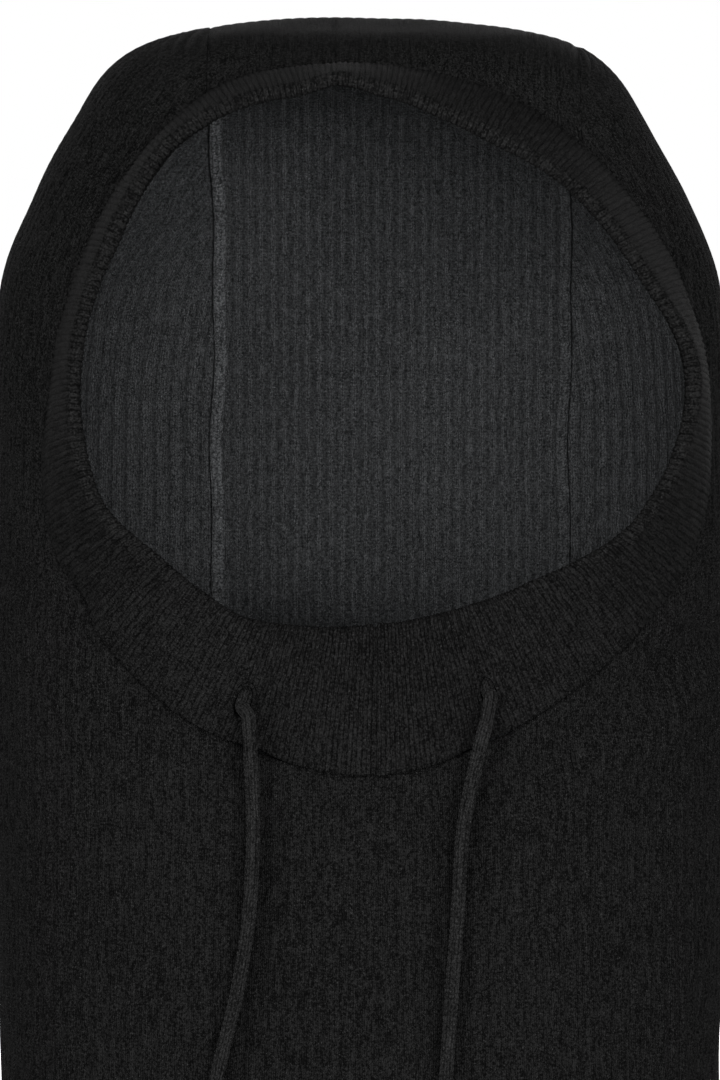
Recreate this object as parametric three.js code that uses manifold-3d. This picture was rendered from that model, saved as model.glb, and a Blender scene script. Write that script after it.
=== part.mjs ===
// A knitted balaclava hood with a drawcord, in the shape it has on a wearer's head.
// Units are millimetres, +Z is up and the face looks along -Y. The origin is the centre of the
// neck opening, level with the bottom of the hem.
import * as THREE from "three";
import { mergeVertices } from "three/addons/utils/BufferGeometryUtils.js";
import Module from "manifold-3d";

const wasm = await Module();
wasm.setup();

// Driving dimensions.
const KNIT = 3.0; // thickness of the body fabric
const GAP = 0.4; // clearance between neighbouring pieces
const RIDGE_GAP = 1.2; // clearance between the body fabric and the seams inside it
const WIDEST_Y = 10; // the plane in which every level of the hood is widest
const ROUNDNESS = 2.5; // exponent of the superellipse that each level follows
const HEM_HEIGHT = 15; // knitted hem band
const HEM_FULLNESS = 0.6; // how far the hem band stands proud of the body fabric
const SEAM_LEFT = -54; // x of the seam between crown panel and wrap panel, left and right
const SEAM_RIGHT = 78;
const RIDGE_WIDTH = 5; // linked seam allowance inside the hood
const RIDGE_HEIGHT = 2.4;
const LAYER = 2.0; // thickness of each layer of the folded face band
const CASING = 1.9; // half the room between the two layers, where the drawcord runs
const CORD_RADIUS = 2.4;
const RUN_FLAT = 1.5; // half thickness of the drawcord where the casing presses it flat
const EYELET_ANGLES = { left: -111.5, right: -71.9 }; // degrees round the face opening
const EYELET_LEVEL = 0.37; // share of the band's width, counted from the seam
const EYELET_HALF = [3.4, 6.6]; // half width and half height of the knitted slit
const KNOT_RADIUS = 4.6;

// Levels of the hood from the hem to the crown: height, half width, front edge y, back edge y.
const LEVELS = [
  [-12, 128, -108.4, 110],
  [0, 128.2, -107.2, 109.6],
  [12, 128.5, -106, 109],
  [72, 129.5, -100, 107],
  [162, 132, -90, 114],
  [242, 133, -88, 121],
  [302, 132, -88, 123],
  [342, 128.5, -86, 118],
  [372, 117, -81, 109],
  [400, 102, -73, 96],
  [417, 91, -61, 82],
  [427, 77, -42, 65],
  [433, 56, -18, 45],
  [436.3, 28, -2, 25],
  [437, 0.5, 9.5, 10.5],
];

// The face opening: its centre, the free edge of the band (x, y, z) and the seam where the
// band meets the hood (x, z), each every 30 degrees anticlockwise from the right-hand side.
const FACE_CENTRE = [7, 312];
const FREE_EDGE = [
  [111, -93, 312], [85, -101, 357], [50, -107, 387], [6, -109, 406], [-43, -108, 398], [-79, -106, 362],
  [-96, -104, 312], [-87, -103, 258], [-44, -99, 224], [7, -94, 219], [53, -98, 232], [98, -95, 260],
];
const BAND_SEAM = [
  [121, 312], [98, 365], [58, 400], [7, 414], [-48, 407], [-87, 366],
  [-106, 312], [-107, 246], [-64, 189], [7, 167], [74, 196], [118, 248],
];

// Drawcord routes, from just outside each eyelet to the end knot.
const ROUTES = {
  left: {
    draw: [[-38.5, -97.8, 188], [-38.3, -98.6, 183], [-38, -97.8, 177]],
    tail: [[-37.9, -97.5, 176.2], [-37.6, -95.6, 169], [-37.2, -93.4, 159], [-37, -93.6, 145],
      [-38.4, -95.8, 119], [-42.4, -98.1, 93], [-48.6, -100.1, 67], [-51, -102.2, 54], [-52.6, -104, 44]],
  },
  right: {
    draw: [[44.2, -97.4, 188], [43, -98.2, 183], [41.4, -97.6, 177]],
    tail: [[41.2, -97.3, 176.2], [39.6, -95.6, 169], [37.6, -93.6, 159], [35.4, -93.9, 145],
      [33.8, -96.4, 119], [31.8, -99.6, 93], [30, -102.6, 67], [29.4, -104.8, 54], [29, -107, 44]],
  },
};

const CHARCOAL = { outside: 0x1b1b1c, inside: 0x26282a, band: 0x1c1c1d, cord: 0x1f1f20 };

function knit(colour) {
  return new THREE.MeshStandardMaterial({ color: colour, roughness: 0.95, metalness: 0 });
}

// ---- Curves and surfaces -------------------------------------------------------------------

const levelShape = new THREE.CatmullRomCurve3(
  LEVELS.map(([, half, front, back]) => new THREE.Vector3(half, front, back)), false, "catmullrom");
const levelHeight = new THREE.CatmullRomCurve3(
  LEVELS.map(([height]) => new THREE.Vector3(height, 0, 0)), false, "catmullrom");

function levelAt(share) {
  const shape = levelShape.getPoint(share);
  return { z: levelHeight.getPoint(share).x, half: shape.x, front: shape.y, back: shape.z };
}

// Finds the level at a height by halving, since the height only rises along the curve.
function levelAtHeight(height) {
  let low = 0;
  let high = 1;
  for (let step = 0; step < 30; step += 1) {
    const middle = (low + high) / 2;
    if (levelHeight.getPoint(middle).x < height) low = middle;
    else high = middle;
  }
  return levelAt((low + high) / 2);
}

// Depth of a level at one x, measured from the widest plane, as a share of its full depth.
function bulge(x, half) {
  const reach = Math.min(1, Math.abs(x) / half);
  return (1 - reach ** ROUNDNESS) ** (1 / ROUNDNESS);
}

function frontY(x, z) {
  const level = levelAtHeight(z);
  return WIDEST_Y + (level.front - WIDEST_Y) * bulge(x, level.half);
}

// Outward direction of the hood's surface: the slope of the superellipse through the point.
function outward(point) {
  const value = (x, y, z) => {
    const level = levelAtHeight(z);
    const depth = y < WIDEST_Y ? WIDEST_Y - level.front : level.back - WIDEST_Y;
    return (Math.abs(x) / level.half) ** ROUNDNESS + (Math.abs(y - WIDEST_Y) / depth) ** ROUNDNESS;
  };
  const step = 0.2;
  const { x, y, z } = point;
  return new THREE.Vector3(
    value(x + step, y, z) - value(x - step, y, z),
    value(x, y + step, z) - value(x, y - step, z),
    value(x, y, z + step) - value(x, y, z - step),
  ).normalize();
}

// Skins a row of equal loops of points. The ends are closed with fans, or joined when looped.
function loft(loops, looped = false) {
  const count = loops[0].length;
  const points = loops.flat();
  const faces = [];
  const last = looped ? loops.length : loops.length - 1;
  for (let row = 0; row < last; row += 1) {
    const next = (row + 1) % loops.length;
    for (let column = 0; column < count; column += 1) {
      const beside = (column + 1) % count;
      const a = row * count + column;
      const b = row * count + beside;
      const c = next * count + beside;
      const d = next * count + column;
      faces.push(a, b, c, a, c, d);
    }
  }
  if (!looped) {
    [0, loops.length - 1].forEach((row, end) => {
      const middle = points.length;
      const centre = new THREE.Vector3();
      loops[row].forEach((point) => centre.addScaledVector(point, 1 / count));
      points.push(centre);
      for (let column = 0; column < count; column += 1) {
        const a = row * count + column;
        const b = row * count + ((column + 1) % count);
        faces.push(...(end === 0 ? [middle, b, a] : [middle, a, b]));
      }
    });
  }
  return facedOut(points, faces);
}

// Makes the geometry and turns the faces round when they enclose a negative volume.
function facedOut(points, faces) {
  let volume = 0;
  for (let i = 0; i < faces.length; i += 3) {
    const [a, b, c] = [points[faces[i]], points[faces[i + 1]], points[faces[i + 2]]];
    volume += a.dot(new THREE.Vector3().crossVectors(b, c));
  }
  if (volume < 0) faces.reverse();
  const geometry = new THREE.BufferGeometry().setFromPoints(points);
  geometry.setIndex(faces);
  return geometry;
}

function toSolid(geometry) {
  const bare = geometry.clone();
  bare.deleteAttribute("normal");
  bare.deleteAttribute("uv");
  const merged = mergeVertices(bare, 1e-5);
  return new wasm.Manifold(new wasm.Mesh({
    numProp: 3,
    vertProperties: new Float32Array(merged.attributes.position.array),
    triVerts: new Uint32Array(merged.index.array),
  }));
}

function toGeometry(solid) {
  const mesh = solid.getMesh();
  const geometry = new THREE.BufferGeometry();
  geometry.setAttribute("position", new THREE.BufferAttribute(new Float32Array(mesh.vertProperties), 3));
  geometry.setIndex(new THREE.BufferAttribute(new Uint32Array(mesh.triVerts), 1));
  return geometry;
}

function block(low, high) {
  const size = high.map((value, axis) => value - low[axis]);
  const geometry = new THREE.BoxGeometry(...size);
  geometry.translate(...low.map((value, axis) => value + size[axis] / 2));
  return toSolid(geometry);
}

// ---- Body panels ---------------------------------------------------------------------------

const ROUND_STEPS = 48;
const LEVEL_STEPS = 24;

// One point of a level's outline at an angle, 0 at the front and 90 at the right-hand side.
function outlinePoint(level, angle) {
  const power = 2 / ROUNDNESS;
  const across = Math.sign(Math.sin(angle)) * Math.abs(Math.sin(angle)) ** power;
  const along = Math.abs(Math.cos(angle)) ** power;
  const depth = Math.cos(angle) > 0 ? level.front - WIDEST_Y : level.back - WIDEST_Y;
  return new THREE.Vector3(level.half * across, WIDEST_Y + depth * along, level.z);
}

function levelLoop(level) {
  return Array.from({ length: ROUND_STEPS }, (_, i) => outlinePoint(level, (2 * Math.PI * i) / ROUND_STEPS));
}

function hoodForm(inset) {
  const shares = Array.from({ length: LEVEL_STEPS + 1 }, (_, i) => i / LEVEL_STEPS);
  const geometry = loft(shares.map((share) => levelLoop(levelAt(share))));
  if (inset === 0) return toSolid(geometry);
  geometry.computeVertexNormals();
  const { position, normal } = geometry.attributes;
  for (let i = 0; i < position.count; i += 1) {
    position.setXYZ(i, position.getX(i) - inset * normal.getX(i), position.getY(i) - inset * normal.getY(i),
      position.getZ(i) - inset * normal.getZ(i));
  }
  return toSolid(geometry);
}

function closedCurve(points) {
  return new THREE.CatmullRomCurve3(points.map((point) => new THREE.Vector3(...point)), true, "catmullrom");
}

const freeEdge = closedCurve(FREE_EDGE);
const bandSeam = closedCurve(BAND_SEAM.map(([x, z]) => [x, 0, z]));

// The opening in the body panels: the band seam's outline pushed through the front.
function faceCut() {
  const outline = new THREE.Shape(bandSeam.getPoints(72).slice(0, -1).map(({ x, z }) => new THREE.Vector2(x, z)));
  const geometry = new THREE.ExtrudeGeometry(outline, { depth: 180, bevelEnabled: false });
  geometry.rotateX(Math.PI / 2);
  geometry.translate(0, -20, 0);
  return toSolid(geometry);
}

function bodyShell() {
  const above = block([-300, -300, HEM_HEIGHT + GAP], [300, 300, 600]);
  return hoodForm(0).subtract(hoodForm(KNIT)).intersect(above).subtract(faceCut());
}

function crownZone(clearance) {
  const left = SEAM_LEFT - clearance;
  const right = SEAM_RIGHT + clearance;
  const back = block([left, WIDEST_Y, -50], [right, 300, 600]);
  const over = block([left, -200, FACE_CENTRE[1]], [right, WIDEST_Y, 600]);
  return back.add(over);
}

function crownPanel(shell) {
  return toGeometry(shell.intersect(crownZone(-GAP / 2)));
}

function wrapPanel(shell) {
  return toGeometry(shell.subtract(crownZone(GAP / 2)));
}

// ---- Seams inside the hood -----------------------------------------------------------------

// Points at one x up the back, over the crown and down to the band seam, evenly spaced.
function panelEdge(x) {
  const up = [];
  const down = [];
  for (let i = 0; i <= 400; i += 1) {
    const level = levelAt(i / 400);
    if (level.half > Math.abs(x) && level.z > HEM_HEIGHT + 5) {
      const share = bulge(x, level.half);
      up.push(new THREE.Vector3(x, WIDEST_Y + (level.back - WIDEST_Y) * share, level.z));
      down.push(new THREE.Vector3(x, WIDEST_Y + (level.front - WIDEST_Y) * share, level.z));
    }
  }
  const stop = x < 0 ? 415 : 409;
  const path = up.concat(down.reverse().filter((point) => point.z > stop));
  return new THREE.CatmullRomCurve3(path, false, "centripetal").getSpacedPoints(40);
}

// A flat ridge with eased edges, carried just under the fabric along a panel edge.
function seamRidge(x) {
  const section = [[-0.5, 0.25], [-0.3, 0], [0.3, 0], [0.5, 0.25], [0.38, 1], [-0.38, 1]];
  const loops = panelEdge(x).map((point) => {
    const out = outward(point);
    const across = new THREE.Vector3(1, 0, 0).addScaledVector(out, -out.x).normalize();
    return section.map(([side, depth]) => point.clone()
      .addScaledVector(out, -(KNIT + RIDGE_GAP + depth * RIDGE_HEIGHT))
      .addScaledVector(across, side * RIDGE_WIDTH));
  });
  return loft(loops);
}

// A bead that follows the band seam on the inside of the body panels.
function bandSeamRidge() {
  const steps = 72;
  const loops = Array.from({ length: steps }, (_, i) => {
    const { x, z } = bandSeam.getPoint(i / steps);
    const away = new THREE.Vector3(x - FACE_CENTRE[0], 0, z - FACE_CENTRE[1]).normalize();
    const base = new THREE.Vector3(x + 3.2 * away.x, 0, z + 3.2 * away.z);
    base.y = frontY(base.x, base.z);
    const out = outward(base);
    const centre = base.addScaledVector(out, -(KNIT + RIDGE_GAP + 1.2));
    const side = away.addScaledVector(out, -away.dot(out)).normalize();
    return ring(centre, side, out, 1.7, 1.1, 6);
  });
  return loft(loops, true);
}

// Points of an ellipse about a centre, spanned by two directions.
function ring(centre, first, second, firstRadius, secondRadius, count) {
  return Array.from({ length: count }, (_, i) => {
    const angle = (2 * Math.PI * i) / count;
    return centre.clone()
      .addScaledVector(first, firstRadius * Math.cos(angle))
      .addScaledVector(second, secondRadius * Math.sin(angle));
  });
}

// ---- Hem -----------------------------------------------------------------------------------

// A closed ring round the neck opening, from a section of (distance outwards, height).
function hemRing(section) {
  const loops = Array.from({ length: ROUND_STEPS }, (_, i) => {
    const angle = (2 * Math.PI * i) / ROUND_STEPS;
    return section.map(([distance, height]) => {
      const point = outlinePoint(levelAtHeight(height), angle);
      const out = outward(point);
      out.z = 0;
      return point.addScaledVector(out.normalize(), distance);
    });
  });
  return loft(loops, true);
}

function hemBand() {
  const inner = -KNIT - HEM_FULLNESS;
  return hemRing([[HEM_FULLNESS, 0], [HEM_FULLNESS, HEM_HEIGHT], [inner, HEM_HEIGHT], [inner, 0]]);
}

function hemSeam() {
  const near = -KNIT - 2 * GAP;
  const far = near - 2;
  return hemRing([[near, HEM_HEIGHT + GAP], [near, HEM_HEIGHT + 3.4], [far, HEM_HEIGHT + 2.6],
    [far, HEM_HEIGHT + GAP + 0.5]]);
}

// ---- Face band -----------------------------------------------------------------------------

const BAND_STEPS = 60;
const MIDDLE_INSET = KNIT / 2;

// The band's middle surface at one angle: seam point, free-edge point and outward direction.
function bandFrame(angle) {
  const share = (((angle % 360) + 360) % 360) / 360;
  const place = (t) => {
    const wrapped = (t + 1) % 1;
    const seam = bandSeam.getPoint(wrapped);
    seam.y = frontY(seam.x, seam.z);
    seam.addScaledVector(outward(seam), -MIDDLE_INSET);
    return { seam, edge: freeEdge.getPoint(wrapped) };
  };
  const here = place(share);
  const before = place(share - 0.01);
  const after = place(share + 0.01);
  const along = after.seam.clone().add(after.edge).sub(before.seam).sub(before.edge).normalize();
  const across = here.edge.clone().sub(here.seam);
  const out = new THREE.Vector3().crossVectors(along, across).normalize();
  if (out.dot(new THREE.Vector3(here.seam.x - FACE_CENTRE[0], -40, here.seam.z - FACE_CENTRE[1])) < 0) out.negate();
  return { ...here, across, along, out };
}

// A point of the band: share of its width from the seam, and distance out of its middle surface.
function bandPoint(frame, width, lift) {
  return frame.seam.clone().addScaledVector(frame.across, width).addScaledVector(frame.out, lift);
}

// Half the room between the layers, which closes towards the seam and the fold.
function casingRoom(width) {
  return GAP / 2 + (CASING - GAP / 2) * Math.sin(Math.PI * width) ** 0.6;
}

function bandLayer(side) {
  const widths = [0.035, 0.2, 0.5, 0.8, 0.985];
  const loops = Array.from({ length: BAND_STEPS }, (_, i) => {
    const frame = bandFrame((360 * i) / BAND_STEPS);
    const near = widths.map((width) => bandPoint(frame, width, side * casingRoom(width)));
    const far = widths.map((width) => bandPoint(frame, width, side * (casingRoom(width) + LAYER)));
    return near.concat(far.reverse());
  });
  return loft(loops, true);
}

function eyeletCut(angle) {
  const frame = bandFrame(angle);
  const across = frame.across.clone().normalize();
  const [halfWidth, halfHeight] = EYELET_HALF.map((half) => half + 1.5 * GAP);
  const loops = [CASING - 1, CASING + LAYER + 6].map((lift) => ring(
    bandPoint(frame, EYELET_LEVEL, lift), frame.along, across, halfWidth, halfHeight, 16));
  return toSolid(loft(loops));
}

function bandOuterLayer() {
  const cuts = Object.values(EYELET_ANGLES).map(eyeletCut);
  return toGeometry(cuts.reduce((solid, cut) => solid.subtract(cut), toSolid(bandLayer(1))));
}

// The whipped edge round a slit: a bead on an oval, lying on the band's outer layer.
function eyelet(angle) {
  const frame = bandFrame(angle);
  const across = frame.across.clone().normalize();
  const bead = 0.5;
  const centre = bandPoint(frame, EYELET_LEVEL, CASING + LAYER + GAP + bead);
  const steps = 20;
  const loops = Array.from({ length: steps }, (_, i) => {
    const turn = (2 * Math.PI * i) / steps;
    const away = frame.along.clone().multiplyScalar(Math.cos(turn)).addScaledVector(across, Math.sin(turn));
    const point = centre.clone()
      .addScaledVector(frame.along, (EYELET_HALF[0] + bead) * Math.cos(turn))
      .addScaledVector(across, (EYELET_HALF[1] + bead) * Math.sin(turn));
    return ring(point, away, frame.out, bead, bead, 6);
  });
  return loft(loops, true);
}

// Where the band strip's two ends are joined: a seam allowance lying inside the casing.
function bandJoinSeam() {
  const loops = [0.14, 0.3, 0.5, 0.7, 0.86].map((width) => {
    const frame = bandFrame(270);
    const room = casingRoom(width) - GAP;
    return ring(bandPoint(frame, width, 0), frame.along, frame.out, 3, room, 8);
  });
  return loft(loops);
}

// ---- Drawcord ------------------------------------------------------------------------------

// The length inside the casing, from the left eyelet round over the forehead to the right one.
function cordRun() {
  const { left, right } = EYELET_ANGLES;
  const exit = (angle, turn) => [
    [angle, 0.355, 6.4, CORD_RADIUS], [angle, 0.375, 5.0, CORD_RADIUS], [angle, 0.4, 3.2, 2.0],
    [angle + turn * 0.2, 0.435, 0.6, 1.2], [angle + turn * 2, 0.53, 0.2, RUN_FLAT],
  ];
  const start = exit(left, -1);
  const finish = exit(right - 360, 1).reverse();
  const steps = 52;
  const from = left - 9;
  const to = right - 360 + 9;
  const casing = Array.from({ length: steps + 1 }, (_, i) => [from + ((to - from) * i) / steps, 0.55, 0, RUN_FLAT]);
  const stations = [...start, ...casing, ...finish].map(([angle, width, lift, thickness]) => {
    const frame = bandFrame(angle);
    return { point: bandPoint(frame, width, lift), out: frame.out, thickness };
  });
  const loops = stations.map(({ point, out, thickness }, i) => {
    const before = stations[Math.max(0, i - 1)].point;
    const after = stations[Math.min(stations.length - 1, i + 1)].point;
    const along = after.clone().sub(before).normalize();
    const side = new THREE.Vector3().crossVectors(along, out).normalize();
    const lift = new THREE.Vector3().crossVectors(side, along);
    return ring(point, side, lift, CORD_RADIUS, thickness, 8);
  });
  return loft(loops);
}

function cordTube(points, steps) {
  const section = new THREE.Shape(Array.from({ length: 8 }, (_, i) => {
    const angle = (Math.PI * i) / 4;
    return new THREE.Vector2(CORD_RADIUS * Math.cos(angle), CORD_RADIUS * Math.sin(angle));
  }));
  const path = new THREE.CatmullRomCurve3(points.map((point) => new THREE.Vector3(...point)), false, "centripetal");
  return new THREE.ExtrudeGeometry(section, { steps, extrudePath: path });
}

// A round knot with a short brush of cord below it, under the end of the tail.
function endKnot(tail) {
  const [x, y, z] = tail.at(-1);
  const ball = new THREE.SphereGeometry(KNOT_RADIUS, 14, 10);
  ball.scale(1, 0.85, 1.15);
  const brush = new THREE.CylinderGeometry(CORD_RADIUS, CORD_RADIUS * 1.2, 9, 10);
  brush.rotateX(Math.PI / 2);
  brush.translate(0, 0, -7.5);
  const knot = toGeometry(toSolid(ball).add(toSolid(brush)));
  knot.translate(x, y, z - KNOT_RADIUS * 1.15 - GAP);
  return knot;
}

// ---- Assembly ------------------------------------------------------------------------------

const balaclava = new THREE.Group();

function addPart(name, geometry, colour) {
  const mesh = new THREE.Mesh(geometry, knit(colour));
  mesh.name = name;
  balaclava.add(mesh);
}

const shell = bodyShell();
addPart("wrap_panel", wrapPanel(shell), CHARCOAL.outside);
addPart("crown_panel", crownPanel(shell), CHARCOAL.inside);
addPart("left_panel_seam", seamRidge(SEAM_LEFT), CHARCOAL.inside);
addPart("right_panel_seam", seamRidge(SEAM_RIGHT), CHARCOAL.inside);
addPart("hem_band", hemBand(), CHARCOAL.outside);
addPart("hem_seam", hemSeam(), CHARCOAL.inside);
addPart("band_outer_layer", bandOuterLayer(), CHARCOAL.band);
addPart("band_inner_layer", bandLayer(-1), CHARCOAL.band);
addPart("band_seam", bandSeamRidge(), CHARCOAL.inside);
addPart("band_join_seam", bandJoinSeam(), CHARCOAL.inside);
addPart("drawcord_run", cordRun(), CHARCOAL.cord);
for (const side of ["left", "right"]) {
  const { draw, tail } = ROUTES[side];
  addPart(`${side}_eyelet`, eyelet(EYELET_ANGLES[side]), CHARCOAL.band);
  addPart(`${side}_cord_draw`, cordTube(draw, 3), CHARCOAL.cord);
  addPart(`${side}_cord_tail`, cordTube(tail, 14), CHARCOAL.cord);
  addPart(`${side}_cord_knot`, endKnot(tail), CHARCOAL.cord);
}

export default balaclava;
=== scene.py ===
"""A knitted balaclava hood with a drawcord, built as an add-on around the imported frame.

Every piece is a surface worked out as arrays: panels follow the levels of the hood, the face
band is a section carried round the opening, and cords are tubes along their routes.
"""
import math

import bmesh
import bpy
import numpy as np
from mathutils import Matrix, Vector


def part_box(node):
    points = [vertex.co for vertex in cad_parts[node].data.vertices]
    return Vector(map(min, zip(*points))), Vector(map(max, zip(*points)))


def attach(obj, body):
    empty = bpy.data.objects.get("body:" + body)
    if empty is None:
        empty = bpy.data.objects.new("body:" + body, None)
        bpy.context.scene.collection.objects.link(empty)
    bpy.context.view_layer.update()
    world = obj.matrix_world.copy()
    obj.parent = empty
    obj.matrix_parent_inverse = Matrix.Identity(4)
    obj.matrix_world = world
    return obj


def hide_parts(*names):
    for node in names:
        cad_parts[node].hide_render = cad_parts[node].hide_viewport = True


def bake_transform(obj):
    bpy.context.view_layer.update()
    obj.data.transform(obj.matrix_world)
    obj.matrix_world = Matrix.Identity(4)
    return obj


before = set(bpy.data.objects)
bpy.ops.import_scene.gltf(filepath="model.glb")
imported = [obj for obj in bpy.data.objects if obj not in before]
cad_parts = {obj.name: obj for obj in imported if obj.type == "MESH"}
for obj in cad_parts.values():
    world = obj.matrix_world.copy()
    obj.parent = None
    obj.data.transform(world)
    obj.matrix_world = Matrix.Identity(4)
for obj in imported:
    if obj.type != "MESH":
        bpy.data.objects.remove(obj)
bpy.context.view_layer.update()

bl_info = {
    "name": "Knitted Balaclava",
    "version": (1, 0, 0),
    "blender": (4, 5, 0),
    "location": "View3D > Sidebar > Balaclava",
    "description": "Builds a rib-knitted hood with a folded face band and a drawcord",
    "category": "Object",
}

MM = 0.001

# ---- Places taken from the frame, in metres ------------------------------------------------

HEM_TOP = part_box("hem_band")[1].z
HOOD_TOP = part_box("crown_panel")[1].z
SEAM_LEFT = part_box("crown_panel")[0].x - 0.2 * MM
SEAM_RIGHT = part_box("crown_panel")[1].x + 0.2 * MM

# ---- Driving shape, as the frame has it; a length times MM is in metres --------------------

WIDEST_Y = 10 * MM  # where the hood is widest
INSIDE = np.array([0, 10, 200]) * MM  # a point within the hood, which its panels face away from
ROUNDNESS = 2.5  # exponent of every level: 2 is an ellipse, and more is squarer
KNIT = 3.0 * MM  # thickness of the panels
LEVELS = np.array([  # height, half width, front edge y, back edge y
    [-12, 128, -108.4, 110],
    [0, 128.2, -107.2, 109.6],
    [12, 128.5, -106, 109],
    [72, 129.5, -100, 107],
    [162, 132, -90, 114],
    [242, 133, -88, 121],
    [302, 132, -88, 123],
    [342, 128.5, -86, 118],
    [372, 117, -81, 109],
    [400, 102, -73, 96],
    [417, 91, -61, 82],
    [427, 77, -42, 65],
    [433, 56, -18, 45],
    [436.3, 28, -2, 25],
    [437, 0.5, 9.5, 10.5],
]) * MM

FACE_CENTRE = np.array([7, 312]) * MM
FREE_EDGE = np.array([  # x, y, z every 30 degrees anticlockwise from the right
    [111, -93, 312], [85, -101, 357], [50, -107, 387], [6, -109, 406], [-43, -108, 398], [-79, -106, 362],
    [-96, -104, 312], [-87, -103, 258], [-44, -99, 224], [7, -94, 219], [53, -98, 232], [98, -95, 260],
]) * MM
BAND_SEAM = np.array([  # x, z at the same angles
    [121, 312], [98, 365], [58, 400], [7, 414], [-48, 407], [-87, 366],
    [-106, 312], [-107, 246], [-64, 189], [7, 167], [74, 196], [118, 248],
]) * MM
CORNER_HEIGHT = 237 * MM  # where the band seam turns from the side of the face to below it

EDGE_DRAPE = [  # angle round the face, and how far the free edge wanders outwards there, in millimetres
    (0, 2.6), (15, -0.7), (30, 0.5), (45, 0), (60, -2.6), (75, -3.9), (90, -2.6), (98, 0.6), (106, -2.4),
    (115, -1), (124, 0.9), (136, 3.1), (158, 0), (190, 1.6), (207, 1), (221, -3.2), (232, -1.9), (242, 0.8),
    (256, -0.5), (280, -0.8), (300, 0.6), (320, 1.4), (332, 1), (344, 2.6), (354, 3.4),
]
FOLDS = [  # from (x, z) to (x, z), width and height, in millimetres; a valley's height is negative
    ((0, 160), (-6, 60), 18, 1.6),
    ((-64, 165), (-64, 60), 12, 1.4),
    ((-131, 238), (-98, 226), 7, -3.4),
    ((62, 172), (124, 216), 7, -3.2),
    ((56, 150), (126, 196), 10, 2.6),
]

# Slits of the band: angle round the face, share of the band's width, half width and half height.
EYELET_ANGLES = {"left": -111.5, "right": -71.9}
EYELET_LEVEL = 0.37
EYELET_HALF = (3.4 * MM, 6.6 * MM)

CORD_RADIUS = 2.4 * MM
CORD_STITCH = 1.9 * MM  # height of one knitted course of the cord
CORD_STEP = 0.45 * MM  # distance between the rings of points of a cord
CORD_WALES = 6  # columns of stitches round the cord
RUN_LEVEL = 0.56  # share of the band's width at which the hidden length of cord runs
RUN_START = 12  # degrees from a slit at which the hidden length begins
KNOT_DROP = 5.7 * MM  # from the end of the tail down to the middle of its knot

JOIN_SHARE = 0.747  # share of a turn at which the band's two ends are joined
FOLD_ROLL = 0.9  # outward shift of the whole free edge, in millimetres
SEAM_SINK = 0.35 * MM  # how far the fabric is pulled in along a seam
SEAM_PULL = 1.6 * MM  # how far from the seam that pull fades
DART_PLACE = -9 * MM  # x of the small tuck at the middle of the crown
DART_DEPTH = 0.9 * MM

# The furrow that each hanging cord presses into the chest, and the heights where it ends.
FURROW_DEPTH = 5.5 * MM
FURROW_WIDTH = 7.5 * MM
FURROW_SHIFT = 1.5 * MM  # to the right of the cord
FURROW_TOP = 200 * MM
FURROW_FOOT = 35 * MM

TEMPLE_HEIGHT = 302 * MM  # above this the wales follow the narrowing crown
BROW_HEIGHT = 362 * MM  # above this a side panel's front edge is a crown seam
PANEL_BOTTOM = 14.6 * MM  # the panels end here, just inside the hem
WALES_IN_RIB = 4  # columns of stitches to each rib of the panels
STITCH_HEIGHT = 1.15 * MM
HEM_RIBS = 260
RIB_SAMPLES = 5  # columns of points to each rib of the band and of the hem

# How finely the curves and each panel are drawn.
RING_POINTS = 1440  # round the face: four to a degree
QUARTER_STEPS = 128  # steps of arc length in the table of a quarter of a level
EDGE_EASE = 15  # ring points over which the drape is eased each way
LOWER_ROWS = 56
UPPER_ROWS = 58
LEFT_COLUMNS = 150
RIGHT_COLUMNS = 124
CHEST_COLUMNS = 196
CROWN_COLUMNS = 240
CROWN_ROWS = 150

# Where each hanging cord lies, in millimetres: the length that is drawn out, then its tail.
ROUTES = {
    "left": {
        "draw": [[-38.5, -97.8, 188], [-38.3, -98.6, 183], [-38, -97.8, 177]],
        "tail": [
            [-37.9, -97.5, 176.2], [-37.6, -95.6, 169], [-37.2, -93.4, 159], [-37, -93.6, 145],
            [-38.4, -95.8, 119], [-42.4, -98.1, 93], [-48.6, -100.1, 67], [-51, -102.2, 54],
            [-52.6, -104, 44],
        ],
    },
    "right": {
        "draw": [[44.2, -97.4, 188], [43, -98.2, 183], [41.4, -97.6, 177]],
        "tail": [
            [41.2, -97.3, 176.2], [39.6, -95.6, 169], [37.6, -93.6, 159], [35.4, -93.9, 145],
            [33.8, -96.4, 119], [31.8, -99.6, 93], [30, -102.6, 67], [29.4, -104.8, 54],
            [29, -107, 44],
        ],
    },
}


# ---- Curves and the hood's surface ---------------------------------------------------------


def smooth_line(points, count, closed=False):
    """Uniform Catmull-Rom curve through the points, at evenly spaced shares of its spans.

    Each span is the cubic whose end slopes are half the step between its neighbours.
    """
    points = np.asarray(points, float)
    size = len(points)
    spans = size if closed else size - 1
    share = np.linspace(0, spans, count, endpoint=not closed)
    first = np.minimum(share.astype(int), spans - 1)
    t = (share - first)[:, None]
    if closed:
        a, b, c, d = (points[(first + k) % size] for k in (-1, 0, 1, 2))
    else:
        padded = np.vstack([2 * points[0] - points[1], points, 2 * points[-1] - points[-2]])
        a, b, c, d = (padded[first + k] for k in (0, 1, 2, 3))
    return b + 0.5 * t * (c - a + t * (2 * a - 5 * b + 4 * c - d + t * (3 * (b - c) + d - a)))


def even_line(points, count):
    """The same line with its points an equal arc length apart."""
    steps = np.linalg.norm(np.diff(points, axis=0), axis=1)
    along = np.concatenate([[0], np.cumsum(steps)])
    wanted = np.linspace(0, along[-1], count)
    return np.stack([np.interp(wanted, along, points[:, k]) for k in range(points.shape[1])], axis=1)


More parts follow.
